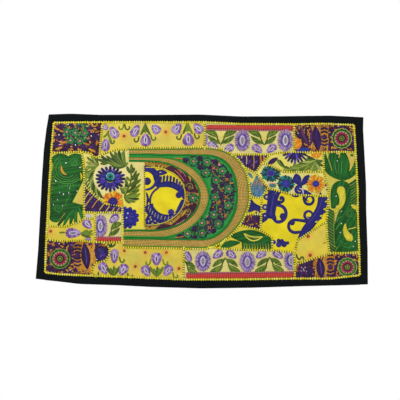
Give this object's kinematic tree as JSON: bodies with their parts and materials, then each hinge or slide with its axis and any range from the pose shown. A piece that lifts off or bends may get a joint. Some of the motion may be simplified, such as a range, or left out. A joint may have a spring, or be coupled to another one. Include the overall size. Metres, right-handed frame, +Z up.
{
  "type": "patchwork wall hanging",
  "caption": "Wide patchwork wall hanging of old embroidered cloth with a U-shaped braided neckline laid over flower patches, beaded seams and a dark folded border.",
  "frame": {"origin": "middle of the top edge, at the wall side of the cloth", "axes": "+X to the right as seen from the front, +Y back into the wall, +Z up; the embroidered front faces -Y"},
  "size_m": [1.029, 0.0116, 0.551],
  "materials": {
    "border_cloth": "plain dark cotton",
    "plum_cloth": "dense silk embroidery in purple, orange and green",
    "straw_cloth": "pale yellow cotton embroidered with lavender buds",
    "pale_cloth": "pale yellow cotton embroidered with lavender daisies",
    "olive_cloth": "olive yellow cotton embroidered in green",
    "cream_cloth": "cream yellow cotton embroidered with daisies and sunflowers",
    "sun_cloth": "bright yellow cotton embroidered with navy scrolls",
    "braid": "tan netted braid edged in green",
    "field_cloth": "green cotton closely embroidered with small flowers"
  },
  "bodies": {
    "root": {"backing": "border_cloth", "border_left": "border_cloth", "border_right": "border_cloth", "border_top": "border_cloth", "border_bottom": "border_cloth", "patch_corner_top_left": "plum_cloth", "patch_buds_top": "straw_cloth", "patch_asters_top": "pale_cloth", "patch_corner_top_right": "plum_cloth", "patch_green_left": "olive_cloth", "patch_buds_left": "straw_cloth", "patch_scrap_left": "straw_cloth", "patch_corner_bottom_left": "plum_cloth", "patch_aster_left": "pale_cloth", "patch_buds_bottom": "straw_cloth", "patch_asters_bottom": "pale_cloth", "patch_corner_bottom_right": "plum_cloth", "patch_dots_right": "straw_cloth", "patch_green_right": "olive_cloth", "patch_daisies_left": "cream_cloth", "patch_plum_left": "plum_cloth", "patch_plum_right": "plum_cloth", "patch_teardrop_right": "cream_cloth", "patch_fern_right": "cream_cloth", "patch_sunflower_right": "cream_cloth", "patch_scrolls_right": "sun_cloth", "patch_scroll_strip": "sun_cloth", "patch_plum_strip": "plum_cloth", "patch_leaf_right": "olive_cloth", "neckline_wide_braid": "braid", "neckline_field": "field_cloth", "neckline_slim_braid": "braid", "neckline_edging": "plum_cloth", "neckline_oval": "sun_cloth"}
  },
  "joints": []
}
